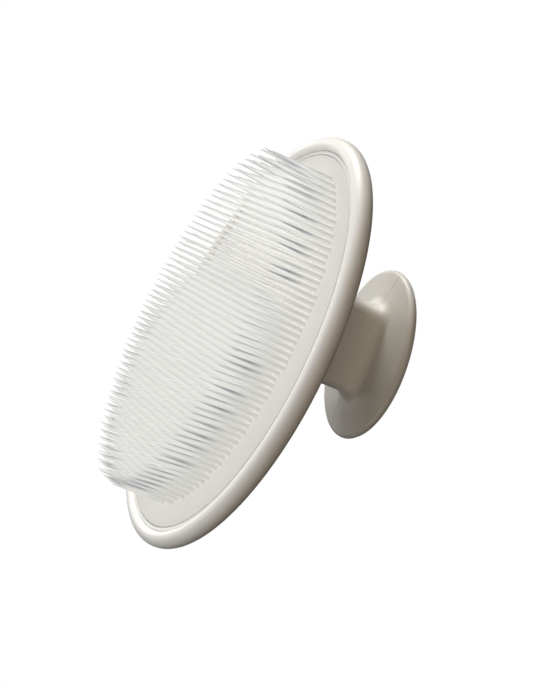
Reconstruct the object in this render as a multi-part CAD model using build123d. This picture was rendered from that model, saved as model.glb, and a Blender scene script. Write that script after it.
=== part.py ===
from build123d import *
import os

# Hand-held silicone face brush. All sizes are millimetres.
# The brush stands on the flat outer face of its palm knob: the origin is the middle of that
# face, +Z points up, +X runs along the long axis of the oval head.
# Head pieces are built in the head's own frame (origin in the middle of the rim, Z along the
# bristles) and then leaned over as one, because the head is canted on the knob.

# head: oval dish with a full-round rim
head_length = 90.0
head_width = 68.0
rim_thickness = 4.1
rim_band = 3.1
rim_waist = 0.05
rim_inner_round = 1.05
back_bulge = 2.6
back_bury = 0.2
back_flat_length = 44.0
back_flat_width = 30.0
back_flat_shift = 4.1
back_border = 5.4
back_round = 14.0
ledge_drop = 2.7
screw_pocket_length = 50.0
screw_pocket_width = 32.0
screw_pocket_shift = 2.7
screw_pocket_floor = 2.2

# how the head sits on the knob
head_cant = 7.6
head_rise = 28.9
head_shift = -4.6

# silicone pad, its carrier and the trim ring that clamps the pad's edge
carrier_thickness = 1.0
pad_thickness = 0.95
pad_flange_thickness = 0.45
pad_edge_round = 0.2
ring_width = 0.75
ring_height = 0.42
ring_edge_round = 0.15
carrier_rib_height = 1.0
carrier_rib_width = 1.2
carrier_rib_length = 33.0
carrier_rib_spacing = 16.0
window_length = 9.0
window_width = 5.0
window_corner = 1.5
window_spacing = 53.0
peg_clearance = 0.25
peg_height = 0.8
edge_clearance = 0.07
stack_clearance = 0.02

# bristle field, as one block around all the bristles
field_end_border = 2.75
field_side_border = 5.5
field_shift = 0.25
bristle_length = 13.15
field_round = 2.8

# neck: a flattened slab between two fingers
neck_width = 18.9
neck_depth = 8.0
neck_corner = 2.6
neck_offset = 8.7
neck_wall = 1.8
neck_solid_top = 10.0
neck_flare = 1.6
neck_flare_round = 1.5
neck_flare_rim = 1.0
neck_root_fillet = 2.2
neck_root_spare = 0.8

# knob: oval disc, crowned on the side of the neck and closed from below by a cap
knob_length = 36.6
knob_width = 30.6
knob_thickness = 2.9
knob_edge_height = 1.95
knob_edge_round = 0.9
knob_crown_border = 6.0
knob_crown_round = 20.0
knob_wall = 3.0
knob_roof = 1.3
cap_thickness = 1.0
cap_round = 0.8
cap_reveal = 0.12
cap_inset = 0.2
cap_spigot_height = 0.4
cap_spigot_wall = 1.2
cap_spigot_floor = 0.1
cap_fit = 0.1

# two self-tapping screws hold the neck to the head
screw_spacing = 8.4
screw_diameter = 2.5
screw_length = 9.0
screw_head_diameter = 4.4
screw_head_height = 1.2
screw_head_round = 0.48
screw_point = 0.8
screw_recess_diameter = 2.0
screw_recess_depth = 0.6
screw_floor_clearance = 0.3
screw_thread_clearance = 0.04
pilot_extra_depth = 1.0

# gasket ring in the top of the neck
gasket_margin = 0.9
gasket_band = 1.0
gasket_thickness = 0.6
gasket_clearance = 0.1

# how far a cutting tool runs past the faces it opens
overcut = 1.0

half_rim = rim_thickness / 2
back_plane = -half_rim - back_bulge
ledge_height = half_rim - ledge_drop
carrier_top = ledge_height + carrier_thickness
pad_bottom = carrier_top + stack_clearance
pad_top = pad_bottom + pad_thickness
neck_top = back_plane - stack_clearance
pocket_floor = back_plane + screw_pocket_floor
recess_length = head_length - 2 * rim_band
recess_width = head_width - 2 * rim_band
flange_length = recess_length - 2 * edge_clearance
flange_width = recess_width - 2 * edge_clearance
face_length = flange_length - 2 * (ring_width + edge_clearance)
face_width = flange_width - 2 * (ring_width + edge_clearance)
groove_length = neck_width - 2 * gasket_margin
groove_width = neck_depth - 2 * gasket_margin
groove_corner = neck_corner - gasket_margin
head_place = Location((head_shift, 0, head_rise), (0, head_cant, 0))


def oval(length, width, bottom, height):
    """Upright oval block with its underside at the given height."""
    section = Plane.XY.offset(bottom) * Ellipse(length / 2, width / 2)
    return extrude(section, amount=height)


def slab(length, width, corner, bottom, height):
    """Upright block with a rounded-rectangle section."""
    section = Plane.XY.offset(bottom) * RectangleRounded(length, width, corner)
    return extrude(section, amount=height)


def rod(diameter, bottom, height):
    """Upright cylinder with its underside at the given height."""
    section = Plane.XY.offset(bottom) * Circle(diameter / 2)
    return extrude(section, amount=height)


def outline_edges(shape, height):
    """Closed edges of a shape that lie flat at one height."""
    return shape.edges().filter_by(
        lambda edge: abs(edge.bounding_box().min.Z - height) < 1e-4
        and abs(edge.bounding_box().max.Z - height) < 1e-4
    )


def screw_places():
    """Where the screw axes cross the head, side by side along the neck."""
    return [Location((neck_offset + side * screw_spacing / 2, 0, 0)) for side in (-1, 1)]


def make_head_shell():
    plate = oval(head_length, head_width, -half_rim, rim_thickness)
    for face_height in (-half_rim, half_rim):
        plate = fillet(outline_edges(plate, face_height), half_rim - rim_waist)
    bulge_start = Plane.XY.offset(-half_rim + back_bury)
    bulge_end = Plane.XY.offset(back_plane)
    wide_length = (head_length - 2 * back_border) / 2
    wide_width = (head_width - 2 * back_border) / 2
    back = loft([
        bulge_start * Ellipse(wide_length, wide_width),
        bulge_end * (Pos(back_flat_shift, 0) * Ellipse(back_flat_length / 2, back_flat_width / 2)),
    ])
    back = fillet(outline_edges(back, back_plane), back_round)
    shell = plate + back
    shell -= oval(recess_length, recess_width, ledge_height, ledge_drop + overcut)
    crest_edge = outline_edges(shell, half_rim).sort_by(lambda edge: edge.length)[0]
    shell = fillet(crest_edge, rim_inner_round)
    pocket = oval(screw_pocket_length, screw_pocket_width, pocket_floor, rim_thickness)
    shell -= Pos(screw_pocket_shift, 0) * pocket
    hole_height = screw_pocket_floor + 2 * overcut
    hole = rod(screw_diameter + screw_floor_clearance, back_plane - overcut, hole_height)
    for place in screw_places():
        shell -= place * hole
    return shell


def both_ways(distance, along):
    """Two places at equal distances each side of the middle, along X or Y."""
    return [Pos(*(side * distance / 2 * axis for axis in along)) for side in (-1, 1)]


def make_pad_carrier():
    bottom = ledge_height + stack_clearance
    carrier = oval(flange_length, flange_width, bottom, carrier_top - bottom)
    rib_depth = carrier_rib_height + carrier_thickness
    rib = Box(carrier_rib_length, carrier_rib_width, rib_depth)
    rib = Pos(screw_pocket_shift, 0, carrier_top - rib_depth / 2) * rib
    for place in both_ways(carrier_rib_spacing, (0, 1)):
        carrier += place * rib
    window_height = carrier_thickness + 2 * overcut
    window = slab(window_length, window_width, window_corner, bottom - overcut, window_height)
    for place in both_ways(window_spacing, (1, 0)):
        carrier -= place * window
    return carrier


def make_bristle_pad():
    flange = oval(flange_length, flange_width, pad_bottom, pad_flange_thickness)
    face = oval(face_length, face_width, pad_bottom, pad_thickness)
    pad = flange + fillet(outline_edges(face, pad_top), pad_edge_round)
    peg_length = window_length - 2 * peg_clearance
    peg_width = window_width - 2 * peg_clearance
    peg_corner = window_corner - peg_clearance
    peg = slab(peg_length, peg_width, peg_corner, pad_bottom - peg_height, peg_height)
    for place in both_ways(window_spacing, (1, 0)):
        pad += place * peg
    return pad


def make_clamp_ring():
    outer_length = recess_length - edge_clearance
    outer_width = recess_width - edge_clearance
    bottom = pad_bottom + pad_flange_thickness + stack_clearance
    ring = oval(outer_length, outer_width, bottom, ring_height)
    ring = fillet(outline_edges(ring, bottom + ring_height), ring_edge_round)
    inner_length = outer_length - 2 * ring_width
    inner_width = outer_width - 2 * ring_width
    return ring - oval(inner_length, inner_width, bottom - overcut, ring_height + 2 * overcut)


def make_bristle_field():
    length = face_length - 2 * field_end_border
    width = face_width - 2 * field_side_border
    bottom = pad_top + stack_clearance
    field = oval(length, width, bottom, bristle_length)
    field = fillet(outline_edges(field, bottom + bristle_length), field_round)
    return Pos(field_shift, 0) * field


def make_screws():
    head_bottom = pocket_floor + stack_clearance
    head_top = head_bottom + screw_head_height
    shank = rod(screw_diameter, head_bottom - screw_length, screw_length)
    shank = chamfer(outline_edges(shank, head_bottom - screw_length), screw_point)
    head = rod(screw_head_diameter, head_bottom, screw_head_height)
    head = fillet(outline_edges(head, head_top), screw_head_round)
    head -= rod(screw_recess_diameter, head_top - screw_recess_depth, screw_recess_depth + overcut)
    screw = head + shank
    return Compound(children=[place * screw for place in screw_places()])


def make_neck_gasket():
    length = groove_length - gasket_clearance
    width = groove_width - gasket_clearance
    band = gasket_band - gasket_clearance
    bottom = neck_top - gasket_thickness + stack_clearance
    ring = slab(length, width, groove_corner, bottom, gasket_thickness)
    hole_height = gasket_thickness + 2 * overcut
    hole = slab(length - 2 * band, width - 2 * band, groove_corner - band, bottom - overcut, hole_height)
    return Pos(neck_offset, 0) * (ring - hole)


def near_neck(edge, spare):
    """Whether an edge's middle lies within the neck's outline, give or take a little."""
    middle = edge.center()
    return abs(middle.X) < neck_width / 2 + spare and abs(middle.Y) < neck_depth / 2 + spare


def make_neck():
    """Neck in the head's frame: flared at the head, cored from below, long enough to reach the knob."""
    neck_bottom = neck_top - head_rise
    neck = slab(neck_width, neck_depth, neck_corner, neck_bottom, head_rise)
    flare_length = neck_width + 2 * neck_flare
    flare_width = neck_depth + 2 * neck_flare
    flare_bottom = neck_top - neck_flare_rim
    neck += slab(flare_length, flare_width, neck_corner + neck_flare, flare_bottom, neck_flare_rim)
    under_flare = [edge for edge in outline_edges(neck, flare_bottom) if near_neck(edge, gasket_clearance)]
    neck = fillet(under_flare, neck_flare_round)
    core_length = neck_width - 2 * neck_wall
    core_width = neck_depth - 2 * neck_wall
    core_height = head_rise - neck_solid_top + overcut
    core = slab(core_length, core_width, neck_corner - neck_wall, neck_bottom - overcut, core_height)
    groove_bottom = neck_top - gasket_thickness
    groove = slab(groove_length, groove_width, groove_corner, groove_bottom, gasket_thickness + overcut)
    island_length = groove_length - 2 * gasket_band
    island_width = groove_width - 2 * gasket_band
    island_corner = groove_corner - gasket_band
    island_height = gasket_thickness + 3 * overcut
    groove -= slab(island_length, island_width, island_corner, groove_bottom - overcut, island_height)
    neck = Pos(neck_offset, 0) * (neck - groove)
    core = Pos(neck_offset, 0) * core
    pilot_depth = screw_length - screw_pocket_floor + pilot_extra_depth
    pilot = rod(screw_diameter + screw_thread_clearance, neck_top - pilot_depth, pilot_depth + overcut)
    for place in screw_places():
        neck -= place * pilot
    return neck, core


def make_knob():
    """Closed oval disc with a low crown, before it is hollowed."""
    knob = oval(knob_length, knob_width, cap_thickness, knob_edge_height - cap_thickness)
    crown_length = knob_length - 2 * knob_crown_border
    crown_width = knob_width - 2 * knob_crown_border
    crown = loft([
        Plane.XY.offset(knob_edge_height) * Ellipse(knob_length / 2, knob_width / 2),
        Plane.XY.offset(knob_thickness) * Ellipse(crown_length / 2, crown_width / 2),
    ])
    knob += crown
    knob = fillet(outline_edges(knob, knob_thickness), knob_crown_round)
    return fillet(outline_edges(knob, knob_edge_height), knob_edge_round)


def make_handle():
    neck, core = make_neck()
    neck = head_place * neck
    core = head_place * core
    knob_middle = (cap_thickness + knob_thickness) / 2
    below = Pos(0, 0, knob_middle - head_rise) * Box(3 * head_length, 3 * head_length, 2 * head_rise)
    neck -= below
    handle = make_knob() + neck
    root = [edge for edge in outline_edges(handle, knob_thickness) if near_neck(edge, neck_root_spare)]
    handle = fillet(root, neck_root_fillet)
    pocket_length = knob_length - 2 * knob_wall
    pocket_width = knob_width - 2 * knob_wall
    handle -= oval(pocket_length, pocket_width, 0, knob_thickness - knob_roof)
    return handle - core


def make_knob_cap():
    length = knob_length - 2 * cap_inset
    width = knob_width - 2 * cap_inset
    cap_top = cap_thickness - cap_reveal
    cap = oval(length, width, 0, cap_top)
    cap = fillet(outline_edges(cap, 0), cap_round)
    spigot_length = knob_length - 2 * knob_wall - 2 * cap_fit
    spigot_width = knob_width - 2 * knob_wall - 2 * cap_fit
    spigot = oval(spigot_length, spigot_width, cap_top, cap_spigot_height)
    hollow_length = spigot_length - 2 * cap_spigot_wall
    hollow_width = spigot_width - 2 * cap_spigot_wall
    spigot -= oval(hollow_length, hollow_width, cap_top + cap_spigot_floor, cap_spigot_height)
    return cap + spigot


pieces = {
    "head_shell": head_place * make_head_shell(),
    "pad_carrier": head_place * make_pad_carrier(),
    "bristle_pad": head_place * make_bristle_pad(),
    "clamp_ring": head_place * make_clamp_ring(),
    "bristle_field": head_place * make_bristle_field(),
    "neck_screws": head_place * make_screws(),
    "neck_gasket": head_place * make_neck_gasket(),
    "handle": make_handle(),
    "knob_cap": make_knob_cap(),
}

os.makedirs("parts", exist_ok=True)
for name, piece in pieces.items():
    piece.label = name
    export_step(piece, f"parts/{name}.step")
    box = piece.bounding_box()
    print(f"{name}: {piece.volume:.0f} mm3, z {box.min.Z:.2f} to {box.max.Z:.2f}, valid {piece.is_valid}")
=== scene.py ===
import math
import random

import bpy
from mathutils import Matrix, Vector


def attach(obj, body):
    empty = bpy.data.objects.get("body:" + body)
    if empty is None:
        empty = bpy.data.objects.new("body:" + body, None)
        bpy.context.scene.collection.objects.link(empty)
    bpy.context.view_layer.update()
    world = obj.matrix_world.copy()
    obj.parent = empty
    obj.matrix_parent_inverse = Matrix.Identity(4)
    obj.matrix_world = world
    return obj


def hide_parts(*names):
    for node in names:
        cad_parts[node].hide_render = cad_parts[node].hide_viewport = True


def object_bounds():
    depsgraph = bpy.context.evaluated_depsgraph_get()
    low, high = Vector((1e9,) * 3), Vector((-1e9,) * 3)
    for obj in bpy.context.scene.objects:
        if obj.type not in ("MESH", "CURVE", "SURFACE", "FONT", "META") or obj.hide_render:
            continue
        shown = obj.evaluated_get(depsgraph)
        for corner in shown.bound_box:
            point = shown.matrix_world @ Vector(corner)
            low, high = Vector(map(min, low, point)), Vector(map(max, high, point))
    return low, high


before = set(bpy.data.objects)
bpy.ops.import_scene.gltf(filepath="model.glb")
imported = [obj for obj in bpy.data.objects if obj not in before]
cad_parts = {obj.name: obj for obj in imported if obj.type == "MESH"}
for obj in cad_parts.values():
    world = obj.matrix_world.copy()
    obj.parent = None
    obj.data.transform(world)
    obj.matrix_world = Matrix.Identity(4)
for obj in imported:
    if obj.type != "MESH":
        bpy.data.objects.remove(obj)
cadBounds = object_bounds()
print("model loaded:", ", ".join(sorted(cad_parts)))

mm = 0.001

# The head is canted on its neck, so what sits on it is laid out in the head's own frame:
# origin in the middle of the rim, Z along the bristles, millimetres and degrees.
headSeat = {"cant": 7.6, "rise": 28.9, "shift": -4.6}
headMiddle = (headSeat["shift"] * mm, 0, headSeat["rise"] * mm)
headMatrix = Matrix.Translation(headMiddle) @ Matrix.Rotation(math.radians(headSeat["cant"]), 4, "Y")


def hexColor(text):
    # sRGB hex to the linear values that the shaders want
    channels = [int(text[i : i + 2], 16) / 255 for i in (1, 3, 5)]
    linear = [c / 12.92 if c <= 0.04045 else ((c + 0.055) / 1.055) ** 2.4 for c in channels]
    return (*linear, 1)


def addNode(tree, kind, settings=None, links=None):
    # settings: socket or attribute values, links: socket name -> output that feeds it
    node = tree.nodes.new(kind)
    for name, value in (settings or {}).items():
        if not isinstance(name, int) and hasattr(node, name):
            setattr(node, name, value)
        else:
            node.inputs[name].default_value = value
    for name, output in (links or {}).items():
        tree.links.new(output, node.inputs[name])
    return node


def newMaterial(name):
    material = bpy.data.materials.new(name)
    material.use_nodes = True
    material.node_tree.nodes.clear()
    return material, material.node_tree


def setMaterial(node, material):
    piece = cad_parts[node]
    piece.data.materials.clear()
    piece.data.materials.append(material)


def patternScale(size):
    # texture scale that makes a pattern's features this many millimetres
    return 1 / mm / size


def smoothStep(low, high, value):
    share = min(1, max(0, (value - low) / (high - low)))
    return share * share * (3 - 2 * share)


# Camera: looks across the bristles from a little above the rim, rolled so that the brush leans.
# It is placed in the head's frame, in millimetres and degrees.
cameraView = {
    "azimuth": 16.8, "elevation": 26.4, "roll": -67.7, "distance": 257.8,
    "panRight": 5.33, "panDown": -0.25, "focal": 68.3, "sensor": 36, "clipNear": 10.0,
}


def addCamera(view):
    azimuth, elevation, roll = (math.radians(view[key]) for key in ("azimuth", "elevation", "roll"))
    level = math.cos(elevation)
    back = Vector((math.sin(azimuth) * level, -math.cos(azimuth) * level, math.sin(elevation)))
    right = Vector((0, 0, 1)).cross(back).normalized()
    down = right.cross(back)
    rolledRight = right * math.cos(roll) - down * math.sin(roll)
    rolledDown = right * math.sin(roll) + down * math.cos(roll)
    place = back * view["distance"] + rolledRight * view["panRight"] + rolledDown * view["panDown"]
    turn = Matrix((rolledRight, -rolledDown, back)).transposed().to_4x4()
    data = bpy.data.cameras.new("studioCamera")
    data.lens = view["focal"]
    data.sensor_width = view["sensor"]
    data.clip_start = view["clipNear"] * mm
    camera = bpy.data.objects.new("studioCamera", data)
    camera.matrix_world = headMatrix @ Matrix.Translation(place * mm) @ turn
    bpy.context.collection.objects.link(camera)
    bpy.context.scene.camera = camera
    return camera


camera = addCamera(cameraView)
print("camera set")

# Studio: pale floor and white surround. A strong light from the top reaches in between head and
# knob, and wide ones light the bristle side, the front and, faintly, the bottom. Places are metres
# from the middle of the brush: to the camera's right, up, and towards the camera.
studio = {
    "floorHalf": 1.6, "floorColor": "#FFFFFF", "floorBounce": "#3C3934",
    "backdrop": "#FFFFFF", "fillColor": "#E4ECF5", "fillStrength": 0.13,
}
softBoxes = {
    "keyBox": {"at": (-0.55, 0.30, 0.30), "size": 0.80, "power": 1.7, "color": "#E4ECFF"},
    "topBox": {"at": (-0.12, 0.75, -0.10), "size": 0.40, "power": 5.5, "color": "#FFFEFC"},
    "sideBox": {"at": (-0.75, -0.05, 0.05), "size": 0.90, "power": 2.2, "color": "#FFFEFA"},
    "rimBox": {"at": (-0.45, 0.30, -0.55), "size": 0.60, "power": 1.2, "color": "#FFFBF6"},
    "lowBox": {"at": (-0.05, -0.75, 0.15), "size": 0.60, "power": 0.50, "color": "#FFF1E6"},
    "frontBox": {"at": (0.05, 0.10, 0.80), "size": 0.60, "power": 1.5, "color": "#FFE6C4"},
}


def addSoftBox(name, spec, target):
    data = bpy.data.lights.new(name, "AREA")
    data.shape = "SQUARE"
    data.size = spec["size"]
    data.energy = spec["power"]
    data.color = hexColor(spec["color"])[:3]
    box = bpy.data.objects.new(name, data)
    place = target + camera.matrix_world.to_3x3() @ Vector(spec["at"])
    facing = (place - target).to_track_quat("Z", "Y").to_matrix().to_4x4()
    box.matrix_world = Matrix.Translation(place) @ facing
    bpy.context.collection.objects.link(box)


def addFloor(height):
    half = studio["floorHalf"]
    corners = [(x * half, y * half, height) for x, y in ((-1, -1), (1, -1), (1, 1), (-1, 1))]
    mesh = bpy.data.meshes.new("studioFloor")
    mesh.from_pydata(corners, [], [(0, 1, 2, 3)])
    floor = bpy.data.objects.new("studioFloor", mesh)
    bpy.context.collection.objects.link(floor)
    # painted board: the camera sees it white, but it throws only a little light back up
    board, tree = newMaterial("paintedBoard")
    path = addNode(tree, "ShaderNodeLightPath")
    matt = addNode(tree, "ShaderNodeBsdfDiffuse", {"Color": hexColor(studio["floorBounce"])})
    lit = addNode(tree, "ShaderNodeEmission", {"Color": hexColor(studio["floorColor"])})
    mix = addNode(
        tree, "ShaderNodeMixShader", None,
        {0: path.outputs["Is Camera Ray"], 1: matt.outputs[0], 2: lit.outputs[0]},
    )
    addNode(tree, "ShaderNodeOutputMaterial", None, {"Surface": mix.outputs[0]})
    mesh.materials.append(board)


def addSurround():
    world = bpy.data.worlds.new("studioWorld")
    world.use_nodes = True
    tree = world.node_tree
    tree.nodes.clear()
    path = addNode(tree, "ShaderNodeLightPath")
    fillSettings = {"Color": hexColor(studio["fillColor"]), "Strength": studio["fillStrength"]}
    fill = addNode(tree, "ShaderNodeBackground", fillSettings)
    backdrop = addNode(tree, "ShaderNodeBackground", {"Color": hexColor(studio["backdrop"])})
    mix = addNode(
        tree, "ShaderNodeMixShader", None,
        {0: path.outputs["Is Camera Ray"], 1: fill.outputs[0], 2: backdrop.outputs[0]},
    )
    addNode(tree, "ShaderNodeOutputWorld", None, {"Surface": mix.outputs[0]})
    bpy.context.scene.world = world
    bpy.context.scene.view_settings.view_transform = "Standard"


middle = (Vector(cadBounds[0]) + Vector(cadBounds[1])) / 2
for name, spec in softBoxes.items():
    addSoftBox(name, spec, middle)
addFloor(cadBounds[0][2])
addSurround()
print("studio set")


# Moulded ABS of the shell, handle, cap and ring. Stone-polished tool: a soft gloss over a slightly
# waxy white, with faint cloudy flow marks. The handle shows the fine line where the two halves of
# its mould met, along the plane through the middle of the neck. Grain and line are coarser than
# the real ones, so that they show. Sizes are millimetres.
shellFinish = {
    "color": "#EAE8E2", "flowColor": "#E4E1DA", "flowSize": 9.0, "flowDetail": 3.0,
    "ior": 1.53, "roughness": 0.42, "roughnessSpread": 0.05,
    "grainSize": 0.35, "grainDetail": 4.0, "grainDepth": 0.004, "grainStrength": 0.25,
    "waxShare": 0.25, "waxSpread": (1.0, 0.8, 0.6), "waxDepth": 1.5, "seamWidth": 0.0,
}
handleFinish = dict(shellFinish, seamWidth=0.16, seamColor="#8F887B")
ringFinish = dict(shellFinish, color="#E0DED6", roughness=0.46)


def mouldedAbs(name, finish):
    material, tree = newMaterial(name)
    place = addNode(tree, "ShaderNodeTexCoord").outputs["Object"]
    flow = addNode(
        tree, "ShaderNodeTexNoise",
        {"Scale": patternScale(finish["flowSize"]), "Detail": finish["flowDetail"]}, {"Vector": place},
    )
    tone = addNode(
        tree, "ShaderNodeMix",
        {"data_type": "RGBA", 6: hexColor(finish["color"]), 7: hexColor(finish["flowColor"])},
        {0: flow.outputs["Fac"]},
    )
    color = tone.outputs[2]
    if finish["seamWidth"]:
        # 1 on the mould's parting plane, fading to 0 half a seam's width away
        axes = addNode(tree, "ShaderNodeSeparateXYZ", None, {"Vector": place})
        away = addNode(tree, "ShaderNodeMath", {"operation": "ABSOLUTE"}, {0: axes.outputs["Y"]})
        seam = addNode(
            tree, "ShaderNodeMapRange",
            {"From Min": 0.0, "From Max": finish["seamWidth"] * mm / 2, "To Min": 1.0, "To Max": 0.0},
            {"Value": away.outputs[0]},
        )
        lined = addNode(
            tree, "ShaderNodeMix", {"data_type": "RGBA", 7: hexColor(finish["seamColor"])},
            {0: seam.outputs["Result"], 6: color},
        )
        color = lined.outputs[2]
    smoothest = finish["roughness"] - finish["roughnessSpread"]
    roughest = finish["roughness"] + finish["roughnessSpread"]
    gloss = addNode(
        tree, "ShaderNodeMapRange",
        {"To Min": smoothest, "To Max": roughest}, {"Value": flow.outputs["Fac"]},
    )
    grain = addNode(
        tree, "ShaderNodeTexNoise",
        {"Scale": patternScale(finish["grainSize"]), "Detail": finish["grainDetail"]}, {"Vector": place},
    )
    bump = addNode(
        tree, "ShaderNodeBump",
        {"Strength": finish["grainStrength"], "Distance": finish["grainDepth"] * mm},
        {"Height": grain.outputs["Fac"]},
    )
    surface = addNode(
        tree, "ShaderNodeBsdfPrincipled",
        {
            "IOR": finish["ior"], "Subsurface Weight": finish["waxShare"],
            "Subsurface Radius": finish["waxSpread"], "Subsurface Scale": finish["waxDepth"] * mm,
        },
        {"Base Color": color, "Roughness": gloss.outputs["Result"], "Normal": bump.outputs["Normal"]},
    )
    addNode(tree, "ShaderNodeOutputMaterial", None, {"Surface": surface.outputs[0]})
    return material


shellAbs = mouldedAbs("polishedAbs", shellFinish)
setMaterial("head_shell", shellAbs)
setMaterial("knob_cap", shellAbs)
setMaterial("handle", mouldedAbs("polishedAbsHandle", handleFinish))
setMaterial("clamp_ring", mouldedAbs("satinAbsRing", ringFinish))

# Injection-moulded polypropylene of the pad's carrier: unpolished tool, so a dull, faintly
# sparkled off-white with a soft waxy edge.
carrierFinish = dict(
    shellFinish, color="#D8D6CF", flowColor="#CFCCC4", flowSize=5.0, ior=1.49, roughness=0.58,
    grainSize=0.6, grainDepth=0.02,
)
setMaterial("pad_carrier", mouldedAbs("mattPolypropylene", carrierFinish))


# Liquid silicone rubber of the pad and the gasket. Fine spark-eroded tool: a soft skin with a
# dull sheen, light that sinks in a few millimetres, and faint cloudiness. The pits are coarser
# than the real ones, so that they show. Sizes are millimetres.
padFinish = {
    "color": "#D5D3CC", "cloudColor": "#CFCCC4", "cloudSize": 7.0, "cloudDetail": 4.0,
    "ior": 1.41, "roughness": 0.46, "sheen": 0.15,
    "pitSize": 0.25, "pitDetail": 2.0, "pitDepth": 0.006, "pitStrength": 0.4,
    "sinkShare": 0.6, "sinkSpread": (1.0, 0.95, 0.85), "sinkDepth": 3.0,
}
gasketFinish = dict(padFinish, color="#B9BDBD", cloudColor="#AFB3B4")


def mouldedSilicone(name, finish):
    material, tree = newMaterial(name)
    place = addNode(tree, "ShaderNodeTexCoord").outputs["Object"]
    cloud = addNode(
        tree, "ShaderNodeTexNoise",
        {"Scale": patternScale(finish["cloudSize"]), "Detail": finish["cloudDetail"]}, {"Vector": place},
    )
    tone = addNode(
        tree, "ShaderNodeMix",
        {"data_type": "RGBA", 6: hexColor(finish["color"]), 7: hexColor(finish["cloudColor"])},
        {0: cloud.outputs["Fac"]},
    )
    pits = addNode(
        tree, "ShaderNodeTexNoise",
        {"Scale": patternScale(finish["pitSize"]), "Detail": finish["pitDetail"]}, {"Vector": place},
    )
    bump = addNode(
        tree, "ShaderNodeBump",
        {"Strength": finish["pitStrength"], "Distance": finish["pitDepth"] * mm},
        {"Height": pits.outputs["Fac"]},
    )
    surface = addNode(
        tree, "ShaderNodeBsdfPrincipled",
        {
            "IOR": finish["ior"], "Roughness": finish["roughness"], "Sheen Weight": finish["sheen"],
            "Subsurface Weight": finish["sinkShare"], "Subsurface Radius": finish["sinkSpread"],
            "Subsurface Scale": finish["sinkDepth"] * mm,
        },
        {"Base Color": tone.outputs[2], "Normal": bump.outputs["Normal"]},
    )
    addNode(tree, "ShaderNodeOutputMaterial", None, {"Surface": surface.outputs[0]})
    return material


setMaterial("bristle_pad", mouldedSilicone("mouldedSilicone", padFinish))
setMaterial("neck_gasket", mouldedSilicone("greySilicone", gasketFinish))

# Stainless steel screws, turned and passivated: grey metal with turning rings round each one,
# coarser than the real ones, so that they show. Sizes are millimetres.
screwFinish = {
    "color": "#B8B6B2", "roughness": (0.25, 0.40),
    "ringSize": 0.754, "ringDepth": 0.004, "ringStrength": 0.5, "ringWander": 0.4,
}


def turnedSteel(name, finish):
    material, tree = newMaterial(name)
    place = addNode(tree, "ShaderNodeTexCoord").outputs["Object"]
    waveTurn = math.tau / 20  # the wave texture repeats after this much of its scaled coordinate
    rings = addNode(
        tree, "ShaderNodeTexWave",
        {
            "bands_direction": "Z", "Scale": waveTurn * patternScale(finish["ringSize"]),
            "Distortion": finish["ringWander"],
        },
        {"Vector": place},
    )
    smoothest, roughest = finish["roughness"]
    gloss = addNode(
        tree, "ShaderNodeMapRange",
        {"To Min": smoothest, "To Max": roughest}, {"Value": rings.outputs["Fac"]},
    )
    bump = addNode(
        tree, "ShaderNodeBump",
        {"Strength": finish["ringStrength"], "Distance": finish["ringDepth"] * mm},
        {"Height": rings.outputs["Fac"]},
    )
    surface = addNode(
        tree, "ShaderNodeBsdfPrincipled", {"Base Color": hexColor(finish["color"]), "Metallic": 1.0},
        {"Roughness": gloss.outputs["Result"], "Normal": bump.outputs["Normal"]},
    )
    addNode(tree, "ShaderNodeOutputMaterial", None, {"Surface": surface.outputs[0]})
    return material


setMaterial("neck_screws", turnedSteel("stainlessSteel", screwFinish))
print("materials set")


# Soft silicone of the bristles, partly translucent. A painted glow stands in for the light that each
# spike pipes down its length, so the field looks evenly pale; the rows just behind the outer one get a
# painted cool shade, from about a third of the way up to just below the tips. Each point's painted-light
# share sets its tone and its painted-glow share its glow.
bristleFinish = {
    # lit tone and painted-shade tone of the silicone; the glow is painted emission in place of scattered
    # light
    "paintedLitColor": "#B4B5B3", "paintedShadeColor": "#979DA4", "paintedGlowColor": "#FFFDFB", "paintedGlow": 0.70,
    "ior": 1.41, "roughness": 0.5, "specular": 0.2, "through": 0.55,
}


def bristleSilicone(name, finish):
    material, tree = newMaterial(name)
    # the painted light share mixes the painted-shade and lit tones; the painted glow share drives the
    # emission
    light = addNode(tree, "ShaderNodeAttribute", {"attribute_name": "paintedLightShare"}).outputs["Fac"]
    paintedGlowShare = addNode(tree, "ShaderNodeAttribute", {"attribute_name": "paintedGlowShare"}).outputs["Fac"]
    tone = addNode(
        tree, "ShaderNodeMix",
        {"data_type": "RGBA", 6: hexColor(finish["paintedShadeColor"]), 7: hexColor(finish["paintedLitColor"])},
        {0: light},
    )
    paintedGlow = addNode(tree, "ShaderNodeMath", {"operation": "MULTIPLY", 1: finish["paintedGlow"]}, {0: paintedGlowShare})
    skin = addNode(
        tree, "ShaderNodeBsdfPrincipled",
        {
            "IOR": finish["ior"], "Roughness": finish["roughness"],
            "Specular IOR Level": finish["specular"], "Emission Color": hexColor(finish["paintedGlowColor"]),
        },
        {"Base Color": tone.outputs[2], "Emission Strength": paintedGlow.outputs[0]},
    )
    through = addNode(tree, "ShaderNodeBsdfTranslucent", None, {"Color": tone.outputs[2]})
    mix = addNode(
        tree, "ShaderNodeMixShader", {0: finish["through"]}, {1: skin.outputs[0], 2: through.outputs[0]}
    )
    addNode(tree, "ShaderNodeOutputMaterial", None, {"Surface": mix.outputs[0]})
    return material


# Bristles: tapered spikes on a square grid, moulded in one with the pad. Millimetres and degrees.
bristles = {
    "fieldLength": 74.4, "fieldWidth": 47.6, "shift": 0.65, "pitch": 1.27, "gridTurn": 13.0,
    "baseHeight": 1.25, "length": 11.8, "crown": 1.3, "lengthSpread": 0.15, "baseRadius": 0.44,
    "lean": 0.4, "strayLean": 1.8, "strayShare": 0.03, "sides": 6, "seed": 11,
}
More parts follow.
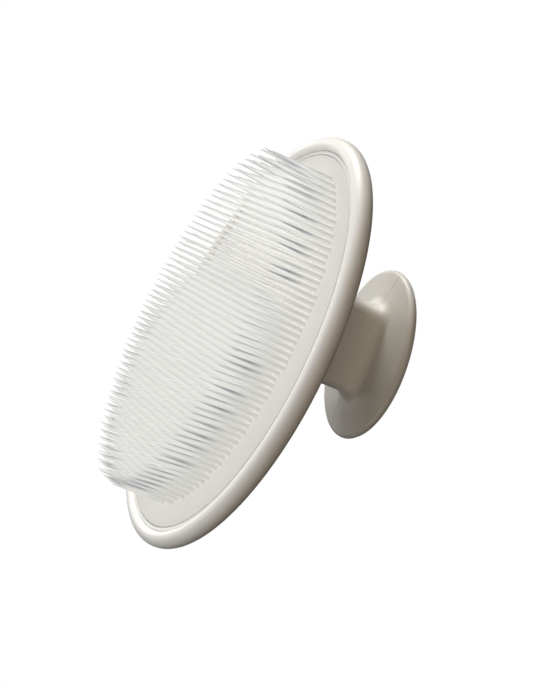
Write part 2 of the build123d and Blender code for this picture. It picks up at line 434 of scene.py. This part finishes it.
# share of the length, and share of the base radius there: a flared foot, then a long taper
bristleTaper = [
    (0.0, 1.45), (0.02, 1.15), (0.06, 1.0), (0.25, 0.86),
    (0.55, 0.58), (0.82, 0.36), (0.96, 0.19), (1.0, 0.0),
]
# where the painted shade comes in and ends: shares of the length, and millimetres in from the field's
# edge;
# the losses paint the tips a little darker and dim the painted glow towards the foot
paintedBristleShade = {
    "foot": (0.28, 0.60), "tip": (0.76, 0.91), "outerRow": (0.4, 1.0), "inside": (1.4, 2.6),
    "depth": 0.85, "footLoss": 0.36, "tipLoss": 0.15,
}


# painted light share: 1 where lit, less in the painted shade behind the outer row, and a little less at
# the tips
def paintedLightAt(height, inset):
    shade = paintedBristleShade
    middle = smoothStep(*shade["foot"], height) * (1 - smoothStep(*shade["tip"], height))
    behind = smoothStep(*shade["outerRow"], inset) * (1 - smoothStep(*shade["inside"], inset))
    tip = 1 - shade["tipLoss"] * smoothStep(shade["tip"][0], 1, height)
    return (1 - shade["depth"] * middle * behind) * tip


# painted glow share: the painted light share, dimmed towards the foot
def paintedGlowAt(height, inset):
    foot = 1 - paintedBristleShade["footLoss"] * (1 - smoothStep(*paintedBristleShade["foot"], height))
    return paintedLightAt(height, inset) * foot


def bristleFeet(spec):
    # each foot's place, its reach (0 in the middle, 1 at the oval edge) and its inset from the edge
    halfLength = spec["fieldLength"] / 2
    halfWidth = spec["fieldWidth"] / 2
    turn = Matrix.Rotation(math.radians(spec["gridTurn"]), 2)
    steps = int(spec["fieldLength"] / spec["pitch"]) + 2
    feet = []
    for column in range(-steps, steps + 1):
        for row in range(-steps, steps + 1):
            foot = turn @ Vector((column * spec["pitch"], row * spec["pitch"]))
            reach = math.hypot(foot.x / halfLength, foot.y / halfWidth)
            if reach <= 1:
                inset = foot.length * (1 / reach - 1) if reach else halfWidth
                feet.append((foot, reach, inset))
    return feet


def spikeFaces(first, sides, rings):
    # quads from ring to ring of one bristle, then triangles to its tip
    tip = first + (rings - 1) * sides
    faces = []
    for ring in range(rings - 1):
        for side in range(sides):
            here = first + ring * sides + side
            beside = first + ring * sides + (side + 1) % sides
            if ring < rings - 2:
                faces.append((here, beside, beside + sides, here + sides))
            else:
                faces.append((here, beside, tip))
    return faces


def makeBristles(spec):
    draw = random.Random(spec["seed"])
    turns = [math.tau * side / spec["sides"] for side in range(spec["sides"])]
    circle = [(math.cos(turn), math.sin(turn)) for turn in turns]
    verts, faces, lights, paintedGlows = [], [], [], []
    feet = bristleFeet(spec)
    for foot, reach, inset in feet:
        length = spec["length"] + spec["crown"] * (1 - reach**2)
        length += draw.uniform(-spec["lengthSpread"], spec["lengthSpread"])
        spread = spec["strayLean"] if draw.random() < spec["strayShare"] else spec["lean"]
        lean = Vector([math.radians(draw.gauss(0, spread)) for axis in "xy"])
        faces += spikeFaces(len(verts), spec["sides"], len(bristleTaper))
        for height, share in bristleTaper:
            rise = height * length
            center = foot + lean * rise * height
            radius = share * spec["baseRadius"]
            for across, along in circle if radius else [(0, 0)]:
                x = center.x + radius * across + spec["shift"]
                y = center.y + radius * along
                z = spec["baseHeight"] + rise
                verts.append((x * mm, y * mm, z * mm))
                # each point's painted light share and painted glow share
                lights.append(paintedLightAt(height, inset))
                paintedGlows.append(paintedGlowAt(height, inset))
    mesh = bpy.data.meshes.new("siliconeBristles")
    mesh.from_pydata(verts, [], faces)
    mesh.transform(headMatrix)
    for attribute, values in (("paintedLightShare", lights), ("paintedGlowShare", paintedGlows)):
        mesh.attributes.new(attribute, "FLOAT", "POINT").data.foreach_set("value", values)
    mesh.polygons.foreach_set("use_smooth", [True] * len(mesh.polygons))
    mesh.materials.append(bristleSilicone("translucentSiliconePaintedLight", bristleFinish))
    piece = bpy.data.objects.new("siliconeBristles", mesh)
    bpy.context.collection.objects.link(piece)
    piece.visible_shadow = False  # clear spikes pass the light on to the pad and to each other
    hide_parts("bristle_field")
    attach(piece, "root")
    print("bristles:", len(feet))


makeBristles(bristles)
